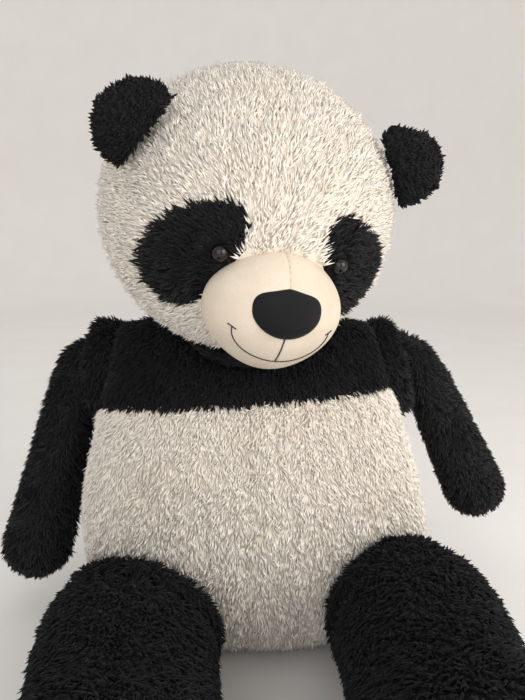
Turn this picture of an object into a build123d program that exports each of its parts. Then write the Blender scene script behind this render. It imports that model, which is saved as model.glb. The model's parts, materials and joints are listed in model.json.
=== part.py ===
from build123d import *
import os
from functools import cache
from math import cos, radians, sin

# A large sitting plush panda. Millimetres, +Z up, the toy faces -Y, and left and right are its own.
# The origin is on the floor in the middle of the seat. Covers are thin sewn panels round a stuffed core.

# cloth and sewing
CLOTH = 4.0
STUFFING_GAP = 0.3
BODY_GAP = 0.3
STITCH = 1.2

# torso: half widths, half depths and centre lines of the sections from the seat to the shoulders
TORSO_HEIGHT = 440.0
TORSO_LEVELS = (0, 30, 80, 140, 210, 280, 340, 385, 420, TORSO_HEIGHT)
TORSO_HALF_WIDTHS = (158, 214, 238, 246, 238, 222, 206, 194, 184, 160)
TORSO_HALF_DEPTHS = (95, 130, 148, 152, 148, 138, 122, 102, 82, 62)
TORSO_CENTRES_Y = (-10, -14, -18, -20, -20, -14, -4, 6, 14, 20)
LEAN = 0.04
LEAN_LEVEL = 280.0
YOKE_SEAM_Z = 333.0
YOKE_SEAM_TILT_X = -8.0
YOKE_SEAM_TILT_Y = -4.0
SIDE_SEAM_Y = 22.0
SEAT_SEAM_Z = 22.0

# head: a ball, turned, nodding and tilted at rest
HEAD_CENTRE = (0, -63, 573)
HEAD_RADIUS = 166.0
HEAD_TURN = 15.0
HEAD_NOD = 15.0
HEAD_TILT = 7.0
HEAD_SPACE_RADIUS = 182.0
FACE_SEAM_Y = -68.0
NECK_RADIUS = 82.0
NECK_CLOTH = 9.0
NECK_SLOPE = 15.0

# muzzle, nose and mouth, in the head's own frame
MUZZLE_CENTRE = (0, -136, -57)
MUZZLE_RADIUS = 69.0
NOSE_CENTRE_Z = -46.0
NOSE_WIDTH = 72.0
NOSE_HEIGHT = 48.0
NOSE_THICKNESS = 9.0
NOSE_CORNER = 13.0
NOSE_FOOT_HALF = 10.8
MOUTH_TOP_Z = -72.0
MOUTH_LOW_Z = -98.0
MOUTH_HALF_WIDTH = 50.0
MOUTH_END_Z = -66.0
MOUTH_BEND_HALF = 31.0
MOUTH_BEND_Z = -89.0
TICK_RISE = 1.0
THREAD_WIDTH = 2.4

# eyes, each a domed safety eye on a shank with a washer behind the cloth
PATCH_AZIMUTH = 34.0
PATCH_ELEVATION = -4.0
PATCH_LENGTH = 118.0
PATCH_WIDTH = 92.0
PATCH_SLANT = 38.0
EYE_AZIMUTH = 23.0
EYE_ELEVATION = -2.5
EYE_RADIUS = 8.5
EYE_DOME = 6.0
SHANK_RADIUS = 2.5
SHANK_LENGTH = 16.0
SHANK_TOP = 1.0
WASHER_RADIUS = 10.0
WASHER_THICKNESS = 2.0
WASHER_DEPTH = 10.0

# ears, half ovals sewn into the seam between face and back of the head
EAR_AZIMUTH = 64.7
EAR_ELEVATION = 28.5
EAR_HALF_WIDTH = 54.0
EAR_HALF_THICKNESS = 16.0
EAR_HEIGHT = 72.0
EAR_CENTRE = 16.0
EAR_ROOT_HALF = 3.0
EAR_ROOT_LEAST = 0.5
EAR_ROOT_SLOPE = 30.0
EAR_GAP = 0.6

# arms, each a tapered pad on a plane that rests against the side of the torso
SHOULDER_Y = 45.0
SHOULDER_Z = 375.0
SHOULDER_X = {"right": -212.0, "left": 197.0}
SHOULDER_PLANE = {"right": 10.0, "left": 15.0}
ARM_ROOT = (24, 0, -5)
HAND_CENTRE = (56, 25, -293)
ARM_LENGTH = 293.0
SHOULDER_RADIUS = 47.0
HAND_RADIUS = 57.0
ARM_LIFT = {"right": 0.0, "left": 8.0}
ARM_SWING = {"right": 0.0, "left": -22.0}
LIFT_PIVOT_UP = 32.0
SHOULDER_GUSSET_RADIUS = 40.0
SHOULDER_GUSSET_DEPTH = 60.0

# legs, each lying forward with an upright foot
HIP_X = {"right": -160.0, "left": 193.0}
HIP_Y = -60.0
LEG_TURN = {"right": 9.0, "left": 1.0}
LEG_STEPS = (0, 30, 90, 200, 290, 350, 388, 400)
LEG_HALF_WIDTHS = (60, 84, 100, 103, 102, 106, 98, 86)
LEG_HALF_HEIGHTS = (66, 84, 98, 101, 106, 116, 108, 96)
LEG_BREADTH = {"right": 1.06, "left": 1.0}
LEG_FLATNESS = {"right": 0.86, "left": 1.0}
LEG_FLOOR_GAP = 1.0
HIP_GAP = 26.0
HIP_GUSSET_DEPTH = 150.0

# tail, closing seam and care label at the back
TAIL_RADIUS = 36.0
TAIL_Z = 86.0
TAIL_Y = 128.0
LADDER_LOW = 170.0
LADDER_STEP = 10.0
LADDER_COUNT = 13
LADDER_WIDTH = 9.0
LABEL_SIZE = (30, 1.2, 42)
LABEL_X = 66.0

BIG = 1000.0
SIDES = ("left", "right")
OUTWARD = {"left": 1, "right": -1}


def half_space(point, normal):
    """A big block that fills the space on the side that normal points to."""
    block = Plane(origin=point, z_dir=normal) * Pos(0, 0, BIG / 2) * Box(BIG, BIG, BIG)
    return block


def only_side(shape, side):
    """The part of shape on one side of its own middle plane X = 0."""
    return shape & half_space((0, 0, 0), (OUTWARD[side], 0, 0))


# ---------------------------------------------------------------- torso


def lean_at(level):
    """How far the middle of the torso stands to the left at a height."""
    return LEAN * (LEAN_LEVEL - level)


@cache
def torso_pear(grow):
    """The torso's pear shape, larger all round by grow."""
    middle = TORSO_HEIGHT / 2
    stretch = (middle + grow) / middle
    rows = zip(TORSO_LEVELS, TORSO_HALF_WIDTHS, TORSO_HALF_DEPTHS, TORSO_CENTRES_Y)
    sections = []
    for level, half_width, half_depth, centre_y in rows:
        height = middle + (level - middle) * stretch
        oval = Ellipse(half_width + grow, half_depth + grow)
        sections.append(Pos(lean_at(level), centre_y, height) * oval)
    return loft(sections)


@cache
def torso_body(grow):
    """The torso with the hollow that the head sits in."""
    head_space = Pos(*HEAD_CENTRE) * Sphere(HEAD_SPACE_RADIUS - grow)
    return torso_pear(grow) - head_space


def yoke_side(upper):
    """The space above or below the seam between the black yoke and the light belly."""
    tilted = Pos(0, 0, YOKE_SEAM_Z) * Rot(X=YOKE_SEAM_TILT_X, Y=YOKE_SEAM_TILT_Y)
    shift = BIG / 2 if upper else -BIG / 2
    return tilted * Pos(0, 0, shift) * Box(BIG, BIG, BIG)


def torso_panels():
    """The sewn panels of the torso, as name and solid."""
    shell = torso_body(0) - torso_body(-CLOTH)
    front = half_space((0, SIDE_SEAM_Y, 0), (0, -1, 0))
    back = half_space((0, SIDE_SEAM_Y, 0), (0, 1, 0))
    above_seat = half_space((0, 0, SEAT_SEAM_Z), (0, 0, 1))
    below_seat = half_space((0, 0, SEAT_SEAM_Z), (0, 0, -1))
    panels = {
        "chest_yoke": shell & front & yoke_side(True),
        "seat_panel": shell & below_seat,
    }
    belly = shell & front & yoke_side(False) & above_seat
    upper_back = shell & back & yoke_side(True)
    lower_back = shell & back & yoke_side(False) & above_seat
    for side in SIDES:
        panels[f"belly_panel_{side}"] = only_side(belly, side)
        panels[f"upper_back_{side}"] = only_side(upper_back, side)
        panels[f"lower_back_{side}"] = only_side(lower_back, side)
    return panels


def closing_stitches():
    """Ladder stitches that close the back seam after stuffing."""
    skin = torso_pear(STITCH) - torso_pear(0)
    stitches = []
    for number in range(LADDER_COUNT):
        level = LADDER_LOW + number * LADDER_STEP
        block = Pos(0, BIG / 2, level) * Box(LADDER_WIDTH, BIG, 2 * STITCH)
        stitches.append(skin & block)
    return Compound(children=[solid for piece in stitches for solid in piece.solids()])


def tail():
    """The small round tail's cover and stuffing, sewn flat to the lower back."""
    place = Pos(lean_at(TAIL_Z), TAIL_Y, TAIL_Z)
    cover = place * Sphere(TAIL_RADIUS) - place * Sphere(TAIL_RADIUS - CLOTH) - torso_pear(BODY_GAP)
    stuffing = place * Sphere(TAIL_RADIUS - CLOTH - STUFFING_GAP) - torso_pear(BODY_GAP)
    return {"tail_cover": cover, "tail_stuffing": stuffing}


def care_label():
    """A blank satin label caught in the seam beside the tail."""
    width, thickness, height = LABEL_SIZE
    skin = torso_pear(thickness + BODY_GAP) - torso_pear(BODY_GAP)
    block = Pos(LABEL_X, BIG / 2, SEAT_SEAM_Z + height / 2 + CLOTH) * Box(width, BIG, height)
    return skin & block


def torso_parts():
    """Every piece of the torso."""
    parts = torso_panels()
    parts["torso_stuffing"] = torso_body(-CLOTH - STUFFING_GAP)
    parts["closing_stitches"] = closing_stitches()
    parts["care_label"] = care_label()
    parts.update(tail())
    return parts


# ---------------------------------------------------------------- head


def head_place():
    """The head's own frame: its centre, turned, nodding and tilted as it rests."""
    return Pos(*HEAD_CENTRE) * Rot(Z=HEAD_TURN) * Rot(X=HEAD_NOD) * Rot(Y=HEAD_TILT)


def head_ball(grow):
    """The head without muzzle and ears."""
    return Sphere(HEAD_RADIUS + grow)


def muzzle_ball(grow):
    """The muzzle's whole ball, half of it inside the head."""
    return Pos(*MUZZLE_CENTRE) * Sphere(MUZZLE_RADIUS + grow)


def direction(azimuth, elevation):
    """A unit direction from the head's centre: azimuth from straight ahead to its left."""
    flat = cos(radians(elevation))
    return (flat * sin(radians(azimuth)), -flat * cos(radians(azimuth)), sin(radians(elevation)))


def surface_plane(azimuth, elevation):
    """A plane on the head's surface in that direction, with its normal outwards and Y up the head."""
    normal = Vector(*direction(azimuth, elevation))
    sideways = Vector(0, 0, 1).cross(normal)
    return Plane(origin=normal * HEAD_RADIUS, x_dir=sideways, z_dir=normal)


def patch_cutter(side):
    """A straight oval column through the cloth where the eye patch is let in."""
    plane = surface_plane(OUTWARD[side] * PATCH_AZIMUTH, PATCH_ELEVATION)
    oval = Rot(Z=-OUTWARD[side] * PATCH_SLANT) * Ellipse(PATCH_WIDTH / 2, PATCH_LENGTH / 2)
    return plane * Pos(0, 0, -PATCH_WIDTH / 2) * extrude(oval, PATCH_WIDTH)


def eye_column(side, radius, low, high):
    """A round column square to the head at the eye, from low to high along its normal."""
    plane = surface_plane(OUTWARD[side] * EYE_AZIMUTH, EYE_ELEVATION)
    return plane * Pos(0, 0, (low + high) / 2) * Cylinder(radius, high - low)


def eye_parts(side):
    """A domed eye with its shank, and the washer that locks it behind the cloth."""
    plane = surface_plane(OUTWARD[side] * EYE_AZIMUTH, EYE_ELEVATION)
    ball_radius = (EYE_RADIUS**2 + EYE_DOME**2) / (2 * EYE_DOME)
    ball = plane * Pos(0, 0, EYE_DOME + BODY_GAP - ball_radius) * Sphere(ball_radius)
    dome = ball & eye_column(side, EYE_RADIUS, BODY_GAP, BODY_GAP + EYE_DOME)
    eye = dome + eye_column(side, SHANK_RADIUS, -SHANK_LENGTH, SHANK_TOP)
    washer = eye_column(side, WASHER_RADIUS, -WASHER_DEPTH - WASHER_THICKNESS, -WASHER_DEPTH)
    washer -= eye_column(side, SHANK_RADIUS, -SHANK_LENGTH, SHANK_TOP)
    return {f"eye_{side}": eye, f"eye_washer_{side}": washer}


def eye_room(side):
    """The room that an eye's shank and washer take inside the head."""
    return eye_column(side, WASHER_RADIUS + BODY_GAP, -SHANK_LENGTH - BODY_GAP, SHANK_TOP)


def nose():
    """A padded nose, a triangle with soft corners on the front of the muzzle."""
    half, low, high = NOSE_WIDTH / 2, -NOSE_HEIGHT / 2, NOSE_HEIGHT / 2
    outline = Polyline((-half, high), (half, high), (NOSE_FOOT_HALF, low), (-NOSE_FOOT_HALF, low), close=True)
    face = fillet(make_face(outline).vertices(), NOSE_CORNER)
    column = Pos(0, MUZZLE_CENTRE[1], NOSE_CENTRE_Z) * extrude(Plane.XZ * face, BIG / 2)
    return (column & muzzle_ball(NOSE_THICKNESS)) - muzzle_ball(0)


def mouth_stitches():
    """The embroidered line under the nose and the two curves of the mouth, as thread on the cloth."""
    tick = THREAD_WIDTH * 2
    drop = Line((0, MOUTH_TOP_Z), (0, MOUTH_LOW_Z))
    curves = [drop]
    for side in SIDES:
        end = OUTWARD[side] * MOUTH_HALF_WIDTH
        bend = OUTWARD[side] * MOUTH_BEND_HALF
        curves.append(ThreePointArc((0, MOUTH_LOW_Z), (bend, MOUTH_BEND_Z), (end, MOUTH_END_Z)))
        curves.append(Line((end - tick, MOUTH_END_Z + TICK_RISE), (end + tick, MOUTH_END_Z - TICK_RISE)))
    ribbon = trace(curves, line_width=THREAD_WIDTH)
    column = Pos(0, MUZZLE_CENTRE[1], 0) * extrude(Plane.XZ * ribbon, BIG / 2)
    return (column & muzzle_ball(STITCH)) - muzzle_ball(0)


def head_parts():
    """Every piece of the head but its ears, in the head's own frame."""
    shell = head_ball(0) - head_ball(-CLOTH) - muzzle_ball(0)
    front = shell & half_space((0, FACE_SEAM_Y, 0), (0, -1, 0))
    back = shell & half_space((0, FACE_SEAM_Y, 0), (0, 1, 0))
    stuffing = head_ball(-CLOTH - STUFFING_GAP)
    muzzle = muzzle_ball(0) - muzzle_ball(-CLOTH) - head_ball(-CLOTH)
    parts = {}
    for side in SIDES:
        cutter = patch_cutter(side)
        shank_hole = eye_column(side, SHANK_RADIUS, -SHANK_LENGTH, SHANK_TOP)
        parts[f"face_panel_{side}"] = only_side(front, side) - cutter
        parts[f"head_back_{side}"] = only_side(back, side)
        parts[f"eye_patch_{side}"] = (only_side(shell, side) & cutter) - shank_hole
        parts[f"muzzle_panel_{side}"] = only_side(muzzle, side)
        parts.update(eye_parts(side))
        stuffing -= eye_room(side)
    parts["head_stuffing"] = stuffing
    parts["muzzle_stuffing"] = muzzle_ball(-CLOTH - STUFFING_GAP) - head_ball(0)
    parts["nose"] = nose()
    parts["mouth_stitches"] = mouth_stitches()
    return parts


# ---------------------------------------------------------------- ears


def ear_plane(side):
    """A plane at the ear's root: Z out of the head, X along the seam, Y towards the face."""
    foot = surface_plane(OUTWARD[side] * EAR_AZIMUTH, EAR_ELEVATION)
    seam = Vector(0, -1, 0).cross(foot.z_dir).normalized()
    return Plane(origin=foot.origin, x_dir=seam, z_dir=foot.z_dir)


def ear_pad(inset):
    """A half oval pad, pinched at its root so that it can fold to and fro."""
    tall = EAR_HEIGHT - EAR_CENTRE - inset
    sizes = (EAR_HALF_WIDTH - inset, EAR_HALF_THICKNESS - inset, tall)
    ball = Rot(X=90) * Sphere(1)
    pad = Pos(0, 0, EAR_CENTRE) * scale(ball, by=sizes)
    rise = BIG * sin(radians(EAR_ROOT_SLOPE)) / cos(radians(EAR_ROOT_SLOPE))
    for front in (-1, 1):
        start = front * max(EAR_ROOT_HALF - inset, EAR_ROOT_LEAST)
        corner = (start + front * BIG, rise)
        outline = Polyline((start, -BIG), (start, 0), corner, (start + front * BIG, -BIG), close=True)
        wedge = extrude(Plane.YZ * make_face(outline), BIG / 2, both=True)
        pad -= wedge
    return pad


def ear_parts(side):
    """An ear's front and back panels and its stuffing, in the head's own frame."""
    place = ear_plane(side)
    clear = head_ball(EAR_GAP)
    outer = place * ear_pad(0) - clear
    inner = place * ear_pad(CLOTH) - head_ball(EAR_GAP + CLOTH)
    shell = outer - inner
    front = half_space(place.origin, place.y_dir)
    back = half_space(place.origin, place.y_dir * -1)
    inset = CLOTH + STUFFING_GAP
    return {
        f"ear_front_{side}": shell & front,
        f"ear_back_{side}": shell & back,
        f"ear_stuffing_{side}": place * ear_pad(inset) - head_ball(EAR_GAP + inset),
    }


# ---------------------------------------------------------------- neck


def neck_disc(radius):
    """A round piece of the bowl between the torso's hollow and the head, of that radius."""
    bowl = Sphere(HEAD_SPACE_RADIUS - BODY_GAP) - head_ball(BODY_GAP)
    column = Rot(X=NECK_SLOPE) * Pos(0, 0, -HEAD_SPACE_RADIUS) * Cylinder(radius, 2 * HEAD_SPACE_RADIUS)
    return Pos(*HEAD_CENTRE) * (bowl & column & half_space((0, 0, -HEAD_RADIUS / 2), (0, 0, -1)))


def neck_parts():
    """The short soft neck, as a cloth ring and the stuffing in it."""
    return {
        "neck_ring": neck_disc(NECK_RADIUS) - neck_disc(NECK_RADIUS - NECK_CLOTH),
        "neck_stuffing": neck_disc(NECK_RADIUS - NECK_CLOTH - STUFFING_GAP),
    }


# ---------------------------------------------------------------- arms


def shoulder_plane(side):
    """A plane at the shoulder: X out of the torso's side, Z up along the side."""
    tilt = radians(SHOULDER_PLANE[side])
    outward = (OUTWARD[side] * cos(tilt), 0, sin(tilt))
    upward = Vector(*outward).cross(Vector(0, 1, 0)) * OUTWARD[side]
    return Plane(origin=(SHOULDER_X[side], SHOULDER_Y, SHOULDER_Z), x_dir=outward, z_dir=upward)


@cache
def arm_pad(grow):
    """The arm in the right shoulder's own frame, X outwards and Y forwards, flat at its root."""
    shoulder = Sphere(SHOULDER_RADIUS + grow)
    hand = Pos(0, 0, -ARM_LENGTH) * Sphere(HAND_RADIUS + grow)
    sleeve = Cone(HAND_RADIUS + grow, SHOULDER_RADIUS + grow, ARM_LENGTH)
    pad = Pos(0, 0, -ARM_LENGTH / 2) * sleeve + shoulder + hand
    axis = Vector(*ARM_ROOT) - Vector(*HAND_CENTRE)
    pad = Plane(origin=ARM_ROOT, z_dir=axis) * pad
    return pad & half_space((-grow, 0, 0), (1, 0, 0))


def arm_pose(side, pad):
    """A pad of the shoulder's frame, lifted and swung as the arm rests, and put at its shoulder."""
    lift_axis = Axis((0, 0, LIFT_PIVOT_UP), (0, -1, 0))
    posed = pad.rotate(lift_axis, ARM_LIFT[side]).rotate(Axis.X, ARM_SWING[side])
    plane = shoulder_plane("right")
    if side == "right":
        return plane * posed
    left = shoulder_plane("left")
    mirrored = mirror(posed, about=Plane.XZ)
    return left * mirrored


def arm_parts(side):
    """An arm's front and back panels, its stuffing and the soft gusset at its root."""
    outer = arm_pad(0)
    inner = arm_pad(-CLOTH)
    shell = outer - inner
    along = Vector(*ARM_ROOT) - Vector(*HAND_CENTRE)
    forward = along.cross(Vector(1, 0, 0))
    front_half = half_space(ARM_ROOT, forward)
    back_half = half_space(ARM_ROOT, forward * -1)
    place = shoulder_plane(side)
    ring = place * Pos(-BODY_GAP, 0, 0) * Rot(Y=90) * Cylinder(SHOULDER_GUSSET_RADIUS, SHOULDER_GUSSET_DEPTH)
    gusset = ring - torso_body(BODY_GAP) - arm_pose(side, arm_pad(BODY_GAP))
    return {
        f"arm_front_{side}": arm_pose(side, shell & front_half),
        f"arm_back_{side}": arm_pose(side, shell & back_half),
        f"arm_stuffing_{side}": arm_pose(side, arm_pad(-CLOTH - STUFFING_GAP)),
        f"shoulder_gusset_{side}": gusset,
    }


# ---------------------------------------------------------------- legs


@cache
def leg_tube(side, grow):
    """The whole leg in its own frame, from the hip forward along -Y, larger all round by grow."""
    sections = []
    widths = [LEG_BREADTH[side] * half_width for half_width in LEG_HALF_WIDTHS]
    heights = [LEG_FLATNESS[side] * half_height for half_height in LEG_HALF_HEIGHTS]
    for step, half_width, half_height in zip(LEG_STEPS, widths, heights):
        end_grow = {LEG_STEPS[0]: -grow, LEG_STEPS[-1]: grow}.get(step, 0)
        origin = (0, -step - end_grow, half_height + LEG_FLOOR_GAP)
        plane = Plane(origin=origin, x_dir=(1, 0, 0), z_dir=(0, -1, 0))
        sections.append(plane * Ellipse(half_width + grow, half_height + grow))
    return loft(sections)


def leg_place(side):
    """The leg's own frame at its hip."""
    return Pos(HIP_X[side], HIP_Y, 0) * Rot(Z=LEG_TURN[side])


def leg_parts(side):
    """A leg's outer, inner and sole panels, its stuffing and the soft gusset at the hip."""
    place = leg_place(side)
    sole_y = -LEG_STEPS[-1] + CLOTH
    before_sole = half_space((0, sole_y, 0), (0, 1, 0))
    tube = leg_tube(side, 0)
    hollow = place * leg_tube(side, -CLOTH) - torso_pear(HIP_GAP + CLOTH)
    cover = place * (tube & before_sole) - torso_pear(HIP_GAP) - hollow
    sole = place * (tube & half_space((0, sole_y, 0), (0, -1, 0)))
    outer = place * half_space((0, 0, 0), (OUTWARD[side], 0, 0))
    inner = place * half_space((0, 0, 0), (-OUTWARD[side], 0, 0))
    stuffing = place * leg_tube(side, -CLOTH - STUFFING_GAP) - torso_pear(HIP_GAP + CLOTH + STUFFING_GAP)
    root = place * (tube & half_space((0, -HIP_GUSSET_DEPTH, 0), (0, 1, 0)))
    gusset = (root & torso_pear(HIP_GAP - BODY_GAP)) - torso_pear(BODY_GAP)
    return {
        f"leg_outer_{side}": cover & outer,
        f"leg_inner_{side}": cover & inner,
        f"leg_stuffing_{side}": stuffing,
        f"sole_{side}": sole,
        f"hip_gusset_{side}": gusset,
    }


# ---------------------------------------------------------------- the toy


def all_parts():
    """Every piece of the toy at rest, as name and solid."""
    parts = torso_parts()
    place = head_place()
    in_head = head_parts()
    for side in SIDES:
        in_head.update(ear_parts(side))
    for name, solid in in_head.items():
        parts[name] = place * solid
    parts.update(neck_parts())
    for side in SIDES:
        parts.update(arm_parts(side))
        parts.update(leg_parts(side))
    return parts


os.makedirs("parts", exist_ok=True)
for part_name, part_solid in all_parts().items():
    export_step(part_solid, os.path.join("parts", part_name + ".step"))
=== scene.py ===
"""A large sitting plush panda: tufted pile panels over stuffed forms, a short-nap muzzle and safety eyes."""

import json
import logging
import math
from collections.abc import Callable, Sequence
from dataclasses import dataclass, field
from enum import Enum

import bmesh
import bpy
import numpy as np
from mathutils import Matrix, Vector
from mathutils.bvhtree import BVHTree
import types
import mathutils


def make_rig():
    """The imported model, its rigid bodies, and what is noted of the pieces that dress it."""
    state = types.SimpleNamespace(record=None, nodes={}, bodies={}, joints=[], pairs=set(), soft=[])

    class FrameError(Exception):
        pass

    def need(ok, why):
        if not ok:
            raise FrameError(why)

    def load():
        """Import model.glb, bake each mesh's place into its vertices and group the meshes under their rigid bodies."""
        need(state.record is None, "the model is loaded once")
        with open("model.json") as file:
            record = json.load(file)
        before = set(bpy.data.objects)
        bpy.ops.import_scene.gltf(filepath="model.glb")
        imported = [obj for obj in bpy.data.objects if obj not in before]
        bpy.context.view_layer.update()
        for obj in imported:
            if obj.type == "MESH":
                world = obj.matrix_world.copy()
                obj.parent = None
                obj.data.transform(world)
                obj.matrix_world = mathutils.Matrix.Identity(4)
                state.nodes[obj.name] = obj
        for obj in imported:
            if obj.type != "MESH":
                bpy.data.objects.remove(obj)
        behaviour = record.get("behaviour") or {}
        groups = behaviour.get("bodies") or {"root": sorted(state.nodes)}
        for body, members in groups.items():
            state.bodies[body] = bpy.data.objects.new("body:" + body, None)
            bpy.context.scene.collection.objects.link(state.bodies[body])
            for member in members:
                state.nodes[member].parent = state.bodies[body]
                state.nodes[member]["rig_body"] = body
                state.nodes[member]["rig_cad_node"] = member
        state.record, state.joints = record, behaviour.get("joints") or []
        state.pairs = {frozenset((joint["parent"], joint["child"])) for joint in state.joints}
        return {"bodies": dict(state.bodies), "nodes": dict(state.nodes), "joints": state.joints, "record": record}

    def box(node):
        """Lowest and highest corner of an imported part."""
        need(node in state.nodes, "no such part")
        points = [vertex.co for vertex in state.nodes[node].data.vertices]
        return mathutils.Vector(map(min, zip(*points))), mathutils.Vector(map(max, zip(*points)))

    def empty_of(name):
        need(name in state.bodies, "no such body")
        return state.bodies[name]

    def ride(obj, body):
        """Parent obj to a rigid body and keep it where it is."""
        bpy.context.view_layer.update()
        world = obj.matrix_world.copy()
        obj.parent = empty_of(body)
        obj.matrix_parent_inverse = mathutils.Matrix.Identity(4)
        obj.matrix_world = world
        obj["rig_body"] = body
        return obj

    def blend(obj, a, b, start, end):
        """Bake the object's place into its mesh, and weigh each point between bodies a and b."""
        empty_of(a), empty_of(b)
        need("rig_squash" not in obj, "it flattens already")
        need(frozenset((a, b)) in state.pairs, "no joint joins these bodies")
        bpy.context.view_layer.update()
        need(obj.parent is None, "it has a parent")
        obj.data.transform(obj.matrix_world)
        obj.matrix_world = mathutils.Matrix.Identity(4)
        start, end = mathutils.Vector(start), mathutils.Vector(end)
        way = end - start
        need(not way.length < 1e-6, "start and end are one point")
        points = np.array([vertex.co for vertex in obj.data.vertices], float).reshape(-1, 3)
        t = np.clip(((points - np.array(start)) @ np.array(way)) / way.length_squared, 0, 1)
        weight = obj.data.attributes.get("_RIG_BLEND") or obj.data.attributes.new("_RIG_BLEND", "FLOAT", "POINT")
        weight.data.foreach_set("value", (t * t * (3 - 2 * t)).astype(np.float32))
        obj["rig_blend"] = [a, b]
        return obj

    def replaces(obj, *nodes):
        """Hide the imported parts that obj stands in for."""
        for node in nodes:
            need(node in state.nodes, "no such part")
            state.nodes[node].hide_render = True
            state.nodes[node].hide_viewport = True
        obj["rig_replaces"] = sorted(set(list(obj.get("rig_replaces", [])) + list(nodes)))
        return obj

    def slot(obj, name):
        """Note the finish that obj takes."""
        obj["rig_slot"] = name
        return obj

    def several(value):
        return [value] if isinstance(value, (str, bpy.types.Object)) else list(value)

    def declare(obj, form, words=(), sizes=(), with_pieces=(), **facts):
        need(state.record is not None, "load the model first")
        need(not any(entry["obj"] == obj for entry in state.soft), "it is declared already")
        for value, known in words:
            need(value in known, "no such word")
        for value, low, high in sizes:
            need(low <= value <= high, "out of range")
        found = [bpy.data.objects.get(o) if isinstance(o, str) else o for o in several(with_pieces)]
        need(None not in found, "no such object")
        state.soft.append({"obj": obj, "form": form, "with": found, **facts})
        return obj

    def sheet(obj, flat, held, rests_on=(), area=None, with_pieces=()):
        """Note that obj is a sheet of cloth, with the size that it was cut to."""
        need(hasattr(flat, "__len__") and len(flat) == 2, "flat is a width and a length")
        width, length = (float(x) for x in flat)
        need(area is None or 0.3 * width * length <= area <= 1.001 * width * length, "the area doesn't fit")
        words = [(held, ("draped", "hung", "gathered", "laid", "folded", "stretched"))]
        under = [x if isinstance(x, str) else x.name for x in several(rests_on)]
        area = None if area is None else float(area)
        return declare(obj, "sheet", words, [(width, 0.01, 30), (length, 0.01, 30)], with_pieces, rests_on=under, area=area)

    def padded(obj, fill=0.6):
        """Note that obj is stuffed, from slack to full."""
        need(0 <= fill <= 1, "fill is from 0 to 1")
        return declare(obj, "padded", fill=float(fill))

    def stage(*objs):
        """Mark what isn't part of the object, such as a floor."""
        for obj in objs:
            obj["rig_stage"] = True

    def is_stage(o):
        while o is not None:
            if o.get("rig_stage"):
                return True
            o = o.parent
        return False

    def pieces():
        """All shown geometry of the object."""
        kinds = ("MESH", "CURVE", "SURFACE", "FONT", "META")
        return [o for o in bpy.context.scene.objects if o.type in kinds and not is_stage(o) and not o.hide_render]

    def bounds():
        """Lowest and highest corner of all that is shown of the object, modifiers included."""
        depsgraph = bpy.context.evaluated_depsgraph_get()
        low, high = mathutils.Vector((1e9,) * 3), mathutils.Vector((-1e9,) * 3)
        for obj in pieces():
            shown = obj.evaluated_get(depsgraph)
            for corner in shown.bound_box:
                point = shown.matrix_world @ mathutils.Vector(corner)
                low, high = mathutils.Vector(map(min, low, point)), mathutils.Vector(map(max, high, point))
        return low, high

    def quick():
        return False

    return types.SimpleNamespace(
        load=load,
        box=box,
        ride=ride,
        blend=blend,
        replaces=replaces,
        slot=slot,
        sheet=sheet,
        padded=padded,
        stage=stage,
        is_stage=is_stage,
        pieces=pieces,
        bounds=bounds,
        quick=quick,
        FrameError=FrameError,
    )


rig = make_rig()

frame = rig.load()
CAD_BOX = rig.bounds()

MM = 0.001
SIDES = ("left", "right")
OUTWARD = {"left": 1.0, "right": -1.0}
SWELL_FRAMES = 20
STUFFING_PRESSURE = 4.0
SWELL_CAP = 5 * MM
FILL = 0.8
FORM_VOXEL = 6 * MM
FUR_STAND = 7 * MM
FLOOR_CLEAR = 0.6 * MM
CLOTH_THICKNESS = 2.5 * MM
WELD = 0.01 * MM
Array = np.ndarray
Test = Callable[[Array], Array]

log = logging.getLogger("panda")


# ------------------------------------------------------------------ colour and nodes


def linear(hex_colour: str) -> tuple[float, float, float, float]:
    """Turns an sRGB hex colour into the linear colour that a shader takes.

    Args:
        hex_colour: Six hex digits after a hash.

    Returns:
        Red, green, blue and an alpha of one, in linear light.
    """
    channels = [int(hex_colour[start:start + 2], 16) / 255 for start in (1, 3, 5)]
    light = [c / 12.92 if c <= 0.04045 else ((c + 0.055) / 1.055) ** 2.4 for c in channels]
    return (light[0], light[1], light[2], 1.0)


def add_node(tree: bpy.types.NodeTree, kind: str, inputs: dict | None = None,
             **settings: object) -> bpy.types.Node:
    """Adds one node, with its settings, its constant inputs and its links.

    Args:
        tree: The node tree that takes the node.
        kind: The node's Blender type.
        inputs: Values or output sockets by the name or number of the input.
        settings: The node's own properties.

    Returns:
        The new node.
    """
    node = tree.nodes.new(kind)
    for key, value in settings.items():
        setattr(node, key, value)
    for key, value in (inputs or {}).items():
        if isinstance(value, bpy.types.NodeSocket):
            tree.links.new(value, node.inputs[key])
        else:
            node.inputs[key].default_value = value
    return node


def new_material(name: str) -> tuple[bpy.types.Material, bpy.types.NodeTree, bpy.types.Node]:
    """Starts a material that has only its output.

    Args:
        name: The material's name.

    Returns:
        The material, its node tree and its output node.
    """
    material = bpy.data.materials.new(name)
    material.use_nodes = True
    tree = material.node_tree
    tree.nodes.clear()
    return material, tree, tree.nodes.new("ShaderNodeOutputMaterial")


def noise(tree: bpy.types.NodeTree, size: float, detail: float = 2.0) -> bpy.types.NodeSocket:
    """Adds noise whose features are about that many metres across, in the object's own place."""
    place = add_node(tree, "ShaderNodeTexCoord")
    found = add_node(tree, "ShaderNodeTexNoise", {"Vector": place.outputs["Object"], "Scale": 1 / size,
                                                  "Detail": detail})
    return found.outputs["Fac"]


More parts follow.
